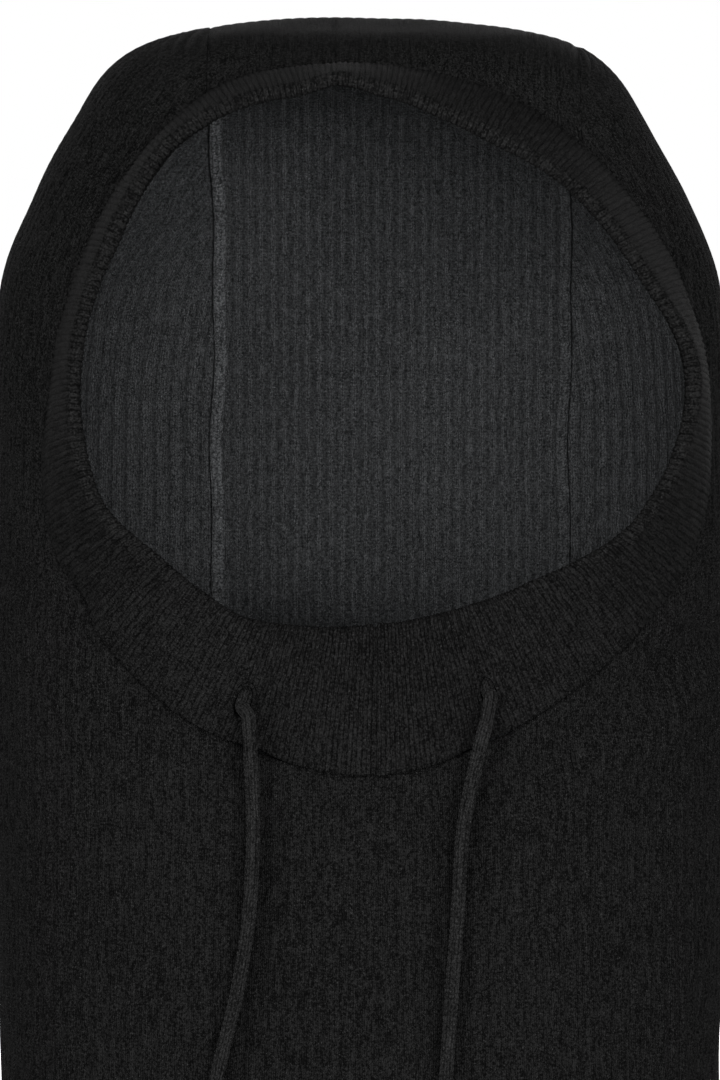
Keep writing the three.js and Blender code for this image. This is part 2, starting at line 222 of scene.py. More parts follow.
class HoodForm:
    """The hood's outer surface: superellipse levels of changing half width and depths.

    A place on it is (h, z): z is the height, and h runs round the level, 0 at the middle of
    the front, 1 at the widest place, 2 at the middle of the back, negative on the left. In
    each quarter h is the share of that quarter's arc length.
    """

    def __init__(self):
        self.levels = smooth_line(LEVELS, 1201)
        # A quarter of a level of size one: across from 0 to 1 as inward goes from 1 to 0, with its
        # points closest together at both ends. self.unit holds across at even shares of its arc.
        quarter = 0.5 * np.pi * (0.5 - 0.5 * np.cos(np.linspace(0, np.pi, 161)))
        power = 2 / ROUNDNESS
        across = np.sin(quarter) ** power
        inward = np.cos(quarter) ** power
        shares = np.linspace(0, 1, QUARTER_STEPS + 1)
        self.unit, self.length = [], []
        for column in (2, 3):
            half = self.levels[:, 1:2]
            depth = np.abs(self.levels[:, column:column + 1] - WIDEST_Y)
            steps = np.hypot(np.diff(half * across, axis=1), np.diff(depth * inward, axis=1))
            along = np.hstack([np.zeros((len(steps), 1)), np.cumsum(steps, axis=1)])
            self.length.append(along[:, -1])
            share = along / along[:, -1:]
            self.unit.append(np.array([np.interp(shares, row, across) for row in share]))

    def row(self, z):
        """Place of each height in the table of levels, as a fraction of rows."""
        return np.interp(z, self.levels[:, 0], np.arange(len(self.levels)))

    def level(self, z, column):
        """One column of the table of levels at a height."""
        return np.interp(z, self.levels[:, 0], self.levels[:, column])

    def quarter_length(self, z, back):
        """Arc length of the front or back quarter of a level."""
        return np.interp(z, self.levels[:, 0], self.length[int(back)])

    def point(self, h, z):
        """Position of (h, z), by bilinear lookup of the unit quarter's width at that share."""
        h, z = np.broadcast_arrays(np.asarray(h, float), np.asarray(z, float))
        around = np.abs(h)
        back = around > 1
        share = np.where(back, 2 - around, around)
        row = self.row(z)
        column = np.clip(share, 0, 1) * QUARTER_STEPS
        i = np.minimum(row.astype(int), len(self.levels) - 2)
        j = np.minimum(column.astype(int), QUARTER_STEPS - 1)
        u, v = row - i, column - j
        across = np.zeros_like(share)
        for table, chosen in ((self.unit[0], ~back), (self.unit[1], back)):
            value = ((1 - u) * ((1 - v) * table[i, j] + v * table[i, j + 1])
                     + u * ((1 - v) * table[i + 1, j] + v * table[i + 1, j + 1]))
            across = np.where(chosen, value, across)
        inward = (1 - np.minimum(across, 1) ** ROUNDNESS) ** (1 / ROUNDNESS)
        edge = np.where(back, self.level(z, 3), self.level(z, 2))
        x = np.sign(h) * across * self.level(z, 1)
        return np.stack([x, WIDEST_Y + (edge - WIDEST_Y) * inward, z], axis=-1)

    def share_of(self, x, z, back):
        """Share of the quarter's arc, from the middle, at which the level reaches x."""
        across = np.clip(np.abs(x) / self.level(z, 1), 0, 1)
        row = np.rint(self.row(z)).astype(int)
        table = self.unit[int(back)]
        shares = np.linspace(0, 1, QUARTER_STEPS + 1)
        found = [np.interp(a, table[r], shares) for a, r in zip(np.ravel(across), np.ravel(row))]
        return np.reshape(found, np.shape(across))

    def front(self, x, z):
        """The y of the front of the hood at (x, z)."""
        across = np.clip(np.abs(x) / self.level(z, 1), 0, 1)
        inward = (1 - across ** ROUNDNESS) ** (1 / ROUNDNESS)
        return WIDEST_Y + (self.level(z, 2) - WIDEST_Y) * inward

    def outward(self, points):
        """Unit slope of the superellipse function through each point."""
        def value(p):
            depth = np.where(p[..., 1] < WIDEST_Y, WIDEST_Y - self.level(p[..., 2], 2),
                             self.level(p[..., 2], 3) - WIDEST_Y)
            return ((np.abs(p[..., 0]) / self.level(p[..., 2], 1)) ** ROUNDNESS
                    + (np.abs(p[..., 1] - WIDEST_Y) / depth) ** ROUNDNESS)
        step = 0.2 * MM
        change = [value(points + step * axis) - value(points - step * axis) for axis in np.eye(3)]
        slope = np.stack(change, axis=-1)
        return slope / np.maximum(np.linalg.norm(slope, axis=-1, keepdims=True), 1e-12)


def draped_edge(ring):
    """Moves a ring round the face outwards by the drape, eased between its angles."""
    angles, shifts = np.array(EDGE_DRAPE).T
    share = np.arange(len(ring)) * 360 / len(ring)
    shift = np.interp(share, angles, shifts, period=360)
    ease = np.hanning(2 * EDGE_EASE + 1)
    ease = ease / ease.sum()
    shift = np.concatenate([shift[-EDGE_EASE:], shift, shift[:EDGE_EASE]])
    shift = np.convolve(shift, ease, "valid") + FOLD_ROLL
    away = ring[:, [0, 2]] - FACE_CENTRE
    away /= np.linalg.norm(away, axis=1, keepdims=True)
    moved = ring.copy()
    moved[:, [0, 2]] += away * shift[:, None] * MM
    return moved


HOOD = HoodForm()
SEAM_RING = smooth_line(BAND_SEAM, RING_POINTS, closed=True)
EDGE_RING = draped_edge(smooth_line(FREE_EDGE, RING_POINTS, closed=True))


def ring_index(degrees):
    """Index in the rings round the face of an angle in degrees."""
    return np.mod(np.rint(np.asarray(degrees) * RING_POINTS / 360).astype(int), RING_POINTS)


# ---- Meshes from arrays --------------------------------------------------------------------


def grid_faces(rows, columns, closed_rows=False, closed_columns=False, start=0):
    """Corner indices of the quads between neighbouring rows and columns."""
    i = np.arange(rows if closed_rows else rows - 1)[:, None]
    j = np.arange(columns if closed_columns else columns - 1)[None, :]
    below, beside = (i + 1) % rows, (j + 1) % columns
    corners = [i * columns + j, i * columns + beside, below * columns + beside, below * columns + j]
    return np.stack([np.broadcast_to(c, (i.size, j.size)) for c in corners], axis=-1).reshape(-1, 4) + start


def add_object(name, points, faces, uv, fans=()):
    """Makes a smooth mesh object from points, quads, one (u, v) per point and fans of triangles."""
    vertices = np.asarray(points, np.float32).reshape(-1, 3)
    triangles = [tri for fan in fans for tri in fan]
    mesh = bpy.data.meshes.new(name)
    mesh.from_pydata(vertices.tolist(), [], faces.tolist() + triangles)
    layer = mesh.uv_layers.new(name="knit")
    corners = np.zeros(len(mesh.loops), np.int32)
    mesh.loops.foreach_get("vertex_index", corners)
    uv = np.asarray(uv, np.float32).reshape(-1, 2)
    layer.data.foreach_set("uv", uv[corners].ravel())
    mesh.shade_smooth()
    piece = bpy.data.objects.new(name, mesh)
    bpy.context.scene.collection.objects.link(piece)
    return piece


def face_outwards(piece):
    """Turns the faces of a closed piece outwards."""
    work = bmesh.new()
    work.from_mesh(piece.data)
    bmesh.ops.recalc_face_normals(work, faces=work.faces)
    work.to_mesh(piece.data)
    work.free()
    return piece


def add_wall(piece, thickness, inner_material=0):
    """Gives a sheet its thickness, inwards, with the inner face moved inner_material material slots on."""
    wall = piece.modifiers.new("knit thickness", "SOLIDIFY")
    wall.thickness = thickness
    wall.offset = -1
    wall.use_rim = True
    wall.material_offset = inner_material
    wall.material_offset_rim = 0
    return wall


def finish_piece(piece, materials, node, body="hood"):
    """Dresses a piece, hides its CAD node, and lets it ride on its body if it has one."""
    for material in materials:
        piece.data.materials.append(material)
    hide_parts(node)
    if body:
        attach(piece, body)
    return piece


def ripple(points, size, seed):
    """Smooth noise from -1 to 1: a sum of six slanted sine waves about one size long."""
    dice = np.random.default_rng(seed)
    total = np.zeros(points.shape[:-1])
    for _ in range(6):
        direction = dice.normal(size=3)
        direction /= np.linalg.norm(direction)
        wave = 2 * np.pi / (size * dice.uniform(0.7, 1.5))
        total += np.sin(points @ direction * wave + dice.uniform(0, 2 * np.pi))
    return total / 6


def rib(position, pitch, sharpness=0.75):
    """Height from 0 to 1 of rounded ribs with narrow valleys between them."""
    return np.abs(np.cos(np.pi * position / pitch)) ** sharpness


def knit_stitch(u, v):
    """Height from 0 to 1 of V-shaped stitches, one to each unit of u (wales) and v (courses).

    A wale has two slanted legs, with a rounded bar across each leg that repeats every course.
    """
    side = np.abs(2 * np.mod(u, 1) - 1)
    leg = np.sin(np.pi * side)
    bar = np.sin(np.pi * np.mod(v + 0.55 * side, 1)) ** 0.7
    return leg ** 0.6 * (0.25 + 0.75 * bar)


# ---- Shader building -----------------------------------------------------------------------


class Signal:
    """A number that varies over a surface, which can be used in ordinary sums."""

    def __init__(self, tree, socket):
        self.tree = tree
        self.socket = socket

    def maths(self, operation, *others):
        """A Math node of this signal and others."""
        node = self.tree.nodes.new("ShaderNodeMath")
        node.operation = operation
        for place, term in zip(node.inputs, [self, *others]):
            if isinstance(term, Signal):
                self.tree.links.new(term.socket, place)
            else:
                place.default_value = term
        return Signal(self.tree, node.outputs[0])

    def __add__(self, other):
        return self.maths("ADD", other)

    def __sub__(self, other):
        return self.maths("SUBTRACT", other)

    def __mul__(self, other):
        return self.maths("MULTIPLY", other)

    def __pow__(self, other):
        return self.maths("POWER", other)

    def __abs__(self):
        return self.maths("ABSOLUTE")

    def fraction(self):
        """What is left of it past a whole number."""
        return self.maths("FRACT")

    def sine(self):
        """Its sine, in radians."""
        return self.maths("SINE")

    def clamped(self):
        """It, held between 0 and 1."""
        return self.maths("MAXIMUM", 0.0).maths("MINIMUM", 1.0)


class Finish:
    """A material being made: one Principled shader and the nodes that feed it."""

    def __init__(self, name, roughness=0.9, gloss=0.0):
        self.material = bpy.data.materials.new(name)
        self.material.use_nodes = True
        self.tree = self.material.node_tree
        self.shader = self.tree.nodes["Principled BSDF"]
        self.shader.inputs["Roughness"].default_value = roughness
        self.shader.inputs["Specular IOR Level"].default_value = gloss

    def node(self, kind, settings=None, inputs=None):
        """Adds a node, sets its settings first, then the values or links of its sockets."""
        node = self.tree.nodes.new(kind)
        for key, value in (settings or {}).items():
            setattr(node, key, value)
        for key, value in (inputs or {}).items():
            if isinstance(value, Signal):
                self.tree.links.new(value.socket, node.inputs[key])
            elif isinstance(value, bpy.types.NodeSocket):
                self.tree.links.new(value, node.inputs[key])
            else:
                node.inputs[key].default_value = value
        return node

    def signal(self, node, output=0):
        """One output of a node, as a Signal."""
        return Signal(self.tree, node.outputs[output])

    def noise(self, vector, scale, detail=2.0, roughness=0.5):
        """Smooth noise from 0 to 1; scale is how many cells there are to a unit of the vector."""
        node = self.node("ShaderNodeTexNoise", {}, {
            "Vector": vector, "Scale": scale, "Detail": detail, "Roughness": roughness,
        })
        return self.signal(node, "Fac")

    def blend(self, amount, first, second):
        """Mixes two colours, given as triples or sockets, by a signal.

        Inputs 6 and 7 and output 2 are the Mix node's colour sockets.
        """
        def colour(value):
            return (*value, 1) if isinstance(value, tuple) else value
        node = self.node("ShaderNodeMix", {"data_type": "RGBA", "clamp_factor": True},
                         {0: amount, 6: colour(first), 7: colour(second)})
        return node.outputs[2]

    def colour(self, socket):
        """Feeds the shader's base colour."""
        self.tree.links.new(socket, self.shader.inputs["Base Color"])

    def bump(self, height, depth):
        """Feeds the shader's normal from a height; depth is its distance in metres."""
        node = self.node("ShaderNodeBump", {}, {"Strength": 1.0, "Distance": depth, "Height": height})
        self.tree.links.new(node.outputs["Normal"], self.shader.inputs["Normal"])


def grey(level, warmth=0.0):
    """A dark colour of a brightness, a touch bluer with negative warmth."""
    return (level * (1 + warmth), level, level * (1 - warmth))


def heather_knit(name, level, stitch_depth, rib_width, rib_shade, warmth=0.0, contrast=1.0):
    """Heathered wool knit of a brightness level, drawn on the knit map.

    Each unit of the map is one wale across and one course up. A stitch is a V of two legs, its
    gaps painted darker as shade; every rib_width wales there is a valley, darker with more rib_shade
    as painted shade; and the yarn is mottled, with pale flecks and fuzz. The stitches are embossed by
    stitch_depth, in metres.
    """
    finish = Finish(name, roughness=1.0, gloss=0.006)
    chart = finish.node("ShaderNodeUVMap", {"uv_map": "knit"})
    axes = finish.node("ShaderNodeSeparateXYZ", {}, {0: chart.outputs[0]})
    place = finish.node("ShaderNodeTexCoord").outputs["Object"]
    wobble = finish.noise(place, 300, 2) - 0.5
    wale = finish.signal(axes, 0) + wobble * 0.8
    course = finish.signal(axes, 1) + wobble * 1.6

    side = abs(wale.fraction() * 2 - 1)
    leg = (side * math.pi).sine().clamped() ** 0.6
    bar = ((course + side * 0.55).fraction() * math.pi).sine().clamped() ** 0.7
    stitch = leg * (bar * 0.7 + 0.3)
    valley = (abs((wale * (1 / rib_width)).fraction() * 2 - 1)) ** 3.0

    ply = finish.node("ShaderNodeCombineXYZ", {}, {0: wale * 1.1, 1: course * 0.16})
    streak = finish.noise(ply.outputs[0], 1.0, 2)
    mottle = finish.noise(place, 1150, 2, 0.7)
    cloud = finish.noise(place, 24, 3)
    grain = finish.noise(place, 3000, 2, 0.6)
    mixed = (mottle - 0.5) * 3.0 + (grain - 0.5) * 2.2 + (streak - 0.5) * 1.3 + (cloud - 0.5) * 0.3
    # painted shade: the tone rises with the stitch's height, so the gaps between the legs are painted
    # darker
    tone = (mixed * contrast + stitch * 0.45 + 0.2).clamped()
    yarn = finish.blend(tone, grey(level * 0.35, warmth), grey(level * 1.75, warmth))
    # painted shade: the rib valleys are darkened towards a deep grey, more with more rib_shade
    shaded = finish.blend(valley * rib_shade, yarn, grey(level * 0.2, warmth))
    specks = ((grain - 0.58) * 8.0).clamped() * ((mottle - 0.5) * 6.0).clamped()
    finish.colour(finish.blend(specks * 0.75 * contrast, shaded, grey(level * 6, warmth)))
    fuzz = finish.noise(place, 2000, 3, 0.7)
    finish.bump(stitch * 0.7 + fuzz * 0.7 + mottle * 0.5 - valley * 0.5, stitch_depth)
    return finish.material


def flat_finish(name, low, high, scale):
    """A matt surface with a faint cloudy change of tone."""
    finish = Finish(name, roughness=0.8)
    place = finish.node("ShaderNodeTexCoord").outputs["Object"]
    finish.colour(finish.blend(finish.noise(place, scale), low, high))
    return finish.material


FINISHES = {}  # filled by mix_finishes before any piece is made


def mix_finishes(colours):
    """Makes every yarn finish of the hood from the colour settings."""
    slate = -0.035  # a touch of blue
    FINISHES["outside"] = heather_knit(
        "charcoal body knit", colours.outside, stitch_depth=0.5 * MM, rib_width=WALES_IN_RIB,
        rib_shade=0.25, contrast=1.4)
    # the inner yarn: its own lighter slate tone, set lighter still as painted light to make up for the
    # shade inside the hood
    FINISHES["inside"] = heather_knit(
        "slate inner knit with painted light", colours.inside, stitch_depth=0.5 * MM, rib_width=WALES_IN_RIB,
        rib_shade=0.13, warmth=slate, contrast=0.8)
    FINISHES["band"] = heather_knit(
        "charcoal band rib", colours.band, stitch_depth=0.3 * MM, rib_width=1,
        rib_shade=0.4, contrast=1.3)
    # painted highlight: the cord yarn is set half again as light as the body yarn, for the light the
    # hanging cord catches
    FINISHES["cord"] = heather_knit(
        "charcoal cord knit with painted highlight", colours.cord, stitch_depth=0.25 * MM, rib_width=1, rib_shade=0.3)
    # painted highlight: the seam yarn is set lighter than the inner knit so that the left seam ridge shows
    # as lit; the hem seam, band seam and band join wear it too
    FINISHES["seam"] = heather_knit(
        "seam yarn with painted highlight", colours.inside * 1.35, stitch_depth=0.3 * MM, rib_width=1,
        rib_shade=0.1, warmth=slate)


# ---- Body panels ---------------------------------------------------------------------------


def body_ripple(points):
    """Slow waves of the hanging fabric with its few soft folds in front, in metres."""
    waves = 0.9 * MM * ripple(points, 95 * MM, 4) + 0.35 * MM * ripple(points, 30 * MM, 9)
    return waves + soft_folds(points)


def soft_folds(points):
    """Rise in metres of the front's folds, and of the furrow that each hanging cord presses in.

    Each is a bell-shaped swell or valley along a line of x and z, and none reaches the back.
    """
    x, z = points[..., 0], points[..., 2]
    total = np.zeros(x.shape)
    for start, end, width, height in FOLDS:
        start, end = np.array(start) * MM, np.array(end) * MM
        step = end - start
        along = np.clip(((x - start[0]) * step[0] + (z - start[1]) * step[1]) / (step @ step), 0, 1)
        gap = np.hypot(x - start[0] - along * step[0], z - start[1] - along * step[1])
        total += height * MM * np.exp(-(gap / (width * MM)) ** 2)
    for route in ROUTES.values():
        line = np.array(route["draw"] + route["tail"]) * MM
        gap = x - np.interp(z, line[::-1, 2], line[::-1, 0]) - FURROW_SHIFT
        rise = np.clip((z - FURROW_FOOT) / (40 * MM), 0, 1)
        fall = np.clip((FURROW_TOP - z) / (22 * MM), 0, 1)
        total -= FURROW_DEPTH * (rise * fall) * np.exp(-(gap / FURROW_WIDTH) ** 2)
    return total * np.clip((WIDEST_Y - points[..., 1]) / (35 * MM), 0, 1)


def wale_place(h, z):
    """Distance round the hood in metres, kept vertical below the temples and true above them."""
    front = HOOD.quarter_length(TEMPLE_HEIGHT, False)
    around = np.abs(h)
    level = np.maximum(z, TEMPLE_HEIGHT)
    beyond = np.where(around > 1, HOOD.quarter_length(level, True), HOOD.quarter_length(level, False))
    return np.where(h < 0, -1, 1) * (front + (around - 1) * beyond)


def side_limits(side, z):
    """Front and back ends of one side's rows: the band seam or crown seam, and the back seam."""
    sign, seam_x = (-1, -SEAM_LEFT) if side == "left" else (1, SEAM_RIGHT)
    angles = np.arange(100, 222, 0.25) if side == "left" else np.arange(-40, 75, 0.25)
    corner = np.maximum(z, CORNER_HEIGHT)
    arc = SEAM_RING[ring_index(angles)]
    order = np.argsort(arc[:, 1])
    reach = np.interp(corner, arc[order, 1], sign * arc[order, 0])
    reach = np.maximum(reach, seam_x)
    front = HOOD.share_of(reach, corner, False)
    back = 2 - HOOD.share_of(np.full_like(z, seam_x), z, True)
    return sign * front, sign * back


def side_rows(side):
    """Row heights of a side: even up to the band's lower corner, then even along the profile."""
    seam_x = -SEAM_LEFT if side == "left" else SEAM_RIGHT
    lower = np.linspace(PANEL_BOTTOM, CORNER_HEIGHT, LOWER_ROWS)
    fine = np.linspace(CORNER_HEIGHT, HOOD_TOP, 2001)
    profile = np.stack([HOOD.level(fine, 1), fine], axis=1)
    upper = even_line(profile[profile[:, 0] >= seam_x], UPPER_ROWS)[1:, 1]
    return np.concatenate([lower, upper])


def knit_panel(h, z, pitch, relief, edge_gap):
    """Outer points of a ribbed panel patch at (h, z), with slow waves and sunken edges.

    The ribs follow the wales, and edge_gap is each point's distance to the nearest seam.
    """
    base = HOOD.point(h, z)
    place = wale_place(h, z)
    lift = relief * (rib(place, pitch) - 0.5) + body_ripple(base)
    lift = lift - SEAM_SINK * np.exp(-(edge_gap / SEAM_PULL) ** 2)
    points = base + HOOD.outward(base) * lift[..., None]
    return points, np.stack([place / pitch * WALES_IN_RIB, z / STITCH_HEIGHT], axis=-1)


def wrap_side(side, settings):
    """One side of the wrap panel: rows of constant height between the front and back seams."""
    z = side_rows(side)
    front, back = side_limits(side, z)
    share = np.linspace(0, 1, LEFT_COLUMNS if side == "left" else RIGHT_COLUMNS)
    h = front[:, None] + (back - front)[:, None] * share
    heights = np.broadcast_to(z[:, None], h.shape)
    length = np.abs(back - front)[:, None] * HOOD.quarter_length(heights, True)
    from_front = np.where(heights > BROW_HEIGHT, share * length, 1.0)
    gap = np.minimum(from_front, (1 - share) * length)
    return knit_panel(h, heights, settings.rib_pitch, settings.rib_relief, gap)


def wrap_chest(settings):
    """The chest, between the two sides and up to the lower arc of the band seam."""
    lines = [side_limits(side, np.array([CORNER_HEIGHT]))[0][0] for side in ("left", "right")]
    h = np.linspace(lines[0], lines[1], CHEST_COLUMNS)
    arc = SEAM_RING[ring_index(np.arange(205, 345, 0.25))]
    order = np.argsort(arc[:, 0])
    top = np.full_like(h, CORNER_HEIGHT)
    for _ in range(6):
        x = HOOD.point(h, top)[:, 0]
        top = np.interp(x, arc[order, 0], arc[order, 1])
    top[[0, -1]] = CORNER_HEIGHT
    share = np.linspace(0, 1, LOWER_ROWS)[:, None]
    z = PANEL_BOTTOM + (top - PANEL_BOTTOM) * share
    h = np.broadcast_to(h, z.shape)
    return knit_panel(h, z, settings.rib_pitch, settings.rib_relief, np.ones(z.shape))


def join_patches(name, patches):
    """Makes one mesh of several grids whose shared edges coincide, facing outwards."""
    points, uv, faces, start = [], [], [], 0
    for grid, chart in patches:
        rows, columns = grid.shape[:2]
        quads = grid_faces(rows, columns, start=start)
        corners = grid.reshape(-1, 3)[quads - start]
        turn = np.cross(corners[:, 2] - corners[:, 0], corners[:, 3] - corners[:, 1])
        middle = corners.mean(axis=1) - INSIDE
        if np.sum(turn * middle) < 0:
            quads = quads[:, ::-1]
        points.append(grid.reshape(-1, 3))
        uv.append(chart.reshape(-1, 2))
        faces.append(quads)
        start += rows * columns
    return add_object(name, np.concatenate(points), np.concatenate(faces), np.concatenate(uv))


def make_wrap_panel(settings):
    """The panel of both sides and the chest, in one piece."""
    patches = [wrap_side("left", settings), wrap_chest(settings), wrap_side("right", settings)]
    piece = weld(join_patches("wrap_panel_knit", patches))
    add_wall(piece, KNIT, 1)
    return finish_piece(piece, [FINISHES["outside"], FINISHES["inside"]], "wrap_panel")


def weld(piece, gap=0.05 * MM):
    """Merges points that coincide where patches meet."""
    work = bmesh.new()
    work.from_mesh(piece.data)
    bmesh.ops.remove_doubles(work, verts=work.verts, dist=gap)
    work.to_mesh(piece.data)
    work.free()
    return piece


def crown_path(x, count):
    """Evenly spaced points of the hood at one x, from the hem up the back and over to the face.

    The line climbs the back, passes over the crown where the half width equals x, and comes
    down in front as far as the band seam.
    """
    arc = SEAM_RING[ring_index(np.arange(20, 160, 0.25))]
    order = np.argsort(arc[:, 0])
    face_top = np.interp(x, arc[order, 0], arc[order, 1])
    wide = HOOD.levels[HOOD.levels[:, 1] >= max(abs(x), 0.5 * MM)]
    peak = wide[-1, 0]
    share = np.linspace(0, 1, 500)
    rise = peak - (peak - PANEL_BOTTOM) * (1 - share) ** 2.2
    fall = peak - (peak - face_top) * share ** 2.2
    heights = np.concatenate([rise, fall[1:]])
    edge = np.concatenate([HOOD.level(rise, 3), HOOD.level(fall[1:], 2)])
    across = np.clip(abs(x) / HOOD.level(heights, 1), 0, 1)
    y = WIDEST_Y + (edge - WIDEST_Y) * (1 - across ** ROUNDNESS) ** (1 / ROUNDNESS)
    return even_line(np.stack([np.full_like(y, x), y, heights], axis=1), count)


def make_crown_panel(settings):
    """The panel up the back and over the crown, with finer and flatter ribs."""
    columns = np.linspace(SEAM_LEFT - 0.1 * MM, SEAM_RIGHT + 0.1 * MM, CROWN_COLUMNS)
    base = np.stack([crown_path(x, CROWN_ROWS) for x in columns], axis=1)
    gap = np.minimum(columns - columns[0], columns[-1] - columns)
    lift = settings.crown_relief * (rib(columns, settings.crown_pitch) - 0.5) + body_ripple(base)
    lift = lift - SEAM_SINK * np.exp(-(gap / SEAM_PULL) ** 2)
    dart = np.exp(-((base[..., 0] - DART_PLACE) / (1.6 * MM)) ** 2)
    lift = lift - DART_DEPTH * dart * np.clip(-base[..., 1] / (25 * MM), 0, 1)
    points = base + HOOD.outward(base) * lift[..., None]
    steps = np.linalg.norm(np.diff(base, axis=0), axis=2)
    along = np.vstack([np.zeros((1, len(columns))), np.cumsum(steps, axis=0)])
    wales = columns / settings.crown_pitch * WALES_IN_RIB
    chart = np.stack([np.broadcast_to(wales, along.shape), along / STITCH_HEIGHT], axis=-1)
    piece = join_patches("crown_panel_knit", [(points, chart)])
    add_wall(piece, KNIT, 1)
    return finish_piece(piece, [FINISHES["outside"], FINISHES["inside"]], "crown_panel")


# ---- Seams and hem -------------------------------------------------------------------------


def carry_section(path, side, depth, section):
    """Points of a section of (side, depth) offsets carried along a path of the same length."""
    section = np.asarray(section, float)
    if section.ndim == 2:
        section = np.broadcast_to(section, (len(path), *section.shape))
    return path[:, None] + side[:, None] * section[..., 0:1] + depth[:, None] * section[..., 1:2]


def wound_chart(across, along):
    """The knit map of a grid: wales across each row and courses along the rows."""
    return np.stack(np.broadcast_arrays(across[None, :], along[:, None]), axis=-1)


def loop_mesh(name, loops, chart, closed):
    """Skins loops of points into one closed piece, with fans of triangles at open ends."""
    rows, columns = loops.shape[:2]
    points = loops.reshape(-1, 3)
    faces = grid_faces(rows, columns, closed_rows=closed, closed_columns=True)
    fans = []
    if not closed:
        points = np.vstack([points, loops[0].mean(axis=0), loops[-1].mean(axis=0)])
        chart = np.vstack([chart.reshape(-1, 2), chart[0].mean(axis=0), chart[-1].mean(axis=0)])
        ring = np.arange(columns)
        after = np.roll(ring, -1)
        hub = rows * columns
        fans.append(np.stack([np.full(columns, hub), after, ring], axis=1).tolist())
        last = (rows - 1) * columns
        fans.append(np.stack([np.full(columns, hub + 1), last + ring, last + after], axis=1).tolist())
    piece = add_object(name, points, faces, chart.reshape(-1, 2), fans)
    return face_outwards(piece)


def unit(vectors):
    """Vectors of length one."""
    return vectors / np.maximum(np.linalg.norm(vectors, axis=-1, keepdims=True), 1e-12)


def make_panel_seam(side):
    """The overlocked allowance behind a panel seam: a flat ridge with slanting thread loops."""
    x = SEAM_LEFT if side == "left" else SEAM_RIGHT
    count = 620
    path = crown_path(x, count)
    path = even_line(path[path[:, 2] > HEM_TOP + 4 * MM], count)
    path = path + HOOD.outward(path) * body_ripple(path)[:, None]
    out = HOOD.outward(path)
    across = unit(np.array([1.0, 0, 0]) - out * out[:, :1])
    turn = np.linspace(0, 2 * np.pi, 28, endpoint=False)
    flat = 0.8
    # painted highlight: the left seam gets the lighter seam yarn, the right one the plain inner knit
    tall, yarn = (1.9 * MM, "seam") if side == "left" else (1.2 * MM, "inside")
    width = 2.6 * MM * np.sign(np.cos(turn)) * np.abs(np.cos(turn)) ** flat
    height = tall * np.sign(np.sin(turn)) * np.abs(np.sin(turn)) ** flat
    along = np.arange(len(path)) * np.linalg.norm(path[1] - path[0])
    slant = along[:, None] / (2.1 * MM) + width[None, :] / (5.2 * MM)
    loop = 0.2 * MM * (np.abs(np.sin(np.pi * slant)) ** 0.8 - 0.5)
    size = 1 + loop / (2 * MM)
    section = np.stack([width * size, height * size], axis=-1)
    drift = 0.7 * MM * np.sin(along / (23 * MM)) + 0.5 * MM * np.sin(along / (9 * MM))
    centre = path - out * (KNIT + 0.9 * MM) + across * drift[:, None]
    loops = carry_section(centre, across, out, section)
    chart = wound_chart(turn / np.pi * 2, along / STITCH_HEIGHT)
    piece = loop_mesh(f"{side}_panel_seam_stitching", loops, chart, closed=False)
    return finish_piece(piece, [FINISHES[yarn]], f"{side}_panel_seam")


def ring_section(name, node, finish, profile, relief, height_step):
    """A closed ring round the neck from a profile of (outward, height) with stitches on it."""
    count = HEM_RIBS * RIB_SAMPLES
    h = np.arange(count) / count * 4 - 2
    profile = np.asarray(profile)
    base = HOOD.point(h[:, None], profile[None, :, 1])
    out = HOOD.outward(base)
    out[..., 2] = 0
    out = unit(out)
    phase = np.arange(count) / RIB_SAMPLES
    bump = relief * (np.abs(np.cos(np.pi * phase)) ** 0.8 - 0.5)
    middle = profile[:, 0].mean()
    sign = np.sign(profile[:, 0] - middle)
    loops = base + out * (profile[None, :, 0:1] + (bump[:, None] * sign)[..., None])
    courses = np.cumsum(np.full(len(profile), height_step)) / STITCH_HEIGHT
    chart = np.stack(np.broadcast_arrays(phase[:, None] * 2, courses[None, :]), axis=-1)
    piece = loop_mesh(name, loops, chart, closed=True)
    return finish_piece(piece, [FINISHES[finish]], node)


def make_hem():
    """The turned ribbed hem and the overlocked seam that holds it to the panels."""
    inner, outer = -KNIT - 0.9 * MM, 0.9 * MM
    bottom, top, corner = 0.1 * MM, 14.9 * MM, 0.8 * MM
    up = np.linspace(1.2, 13.8, 8) * MM
    profile = ([(outer, z) for z in up] + [(outer - corner, top), (inner + corner, top)]
               + [(inner, z) for z in up[::-1]] + [(inner + corner, bottom), (outer - corner, bottom)])
    ring_section("hem_band_rib", "hem_band", "outside", profile, 0.5 * MM, 1.5 * MM)
    near, far = -KNIT - 0.2 * MM, -KNIT - 2.8 * MM
    seam = [(near, 15.2 * MM), (near, 18.4 * MM), (far + 0.6 * MM, 18.2 * MM), (far, 17 * MM),
            (far, 16 * MM), (far + 0.5 * MM, 15.3 * MM)]
    ring_section("hem_seam_stitching", "hem_seam", "seam", seam, 0.6 * MM, 1.2 * MM)


# ---- Face band -----------------------------------------------------------------------------

LAYER = 2.0 * MM  # thickness of each layer
CASING = 1.9 * MM  # half the room for the cord between the layers
GAP = 0.4 * MM  # between the layers at the seam and at the fold
FOLD_PLACE = 0.965  # share of the band's width at which the layers begin to roll round the fold


def ring_at(ring, share):
    """Points of a closed ring at shares of a turn, by linear interpolation."""
    place = np.mod(share, 1) * len(ring)
    first = place.astype(int) % len(ring)
    t = (place - np.floor(place))[:, None]
    return ring[first] * (1 - t) + ring[(first + 1) % len(ring)] * t


def seam_line():
    """The band seam on the middle of the panels' thickness."""
    x, z = SEAM_RING.T
    points = np.stack([x, HOOD.front(x, z), z], axis=1)
    return points - HOOD.outward(points) * KNIT / 2


BAND_ROOT = seam_line()


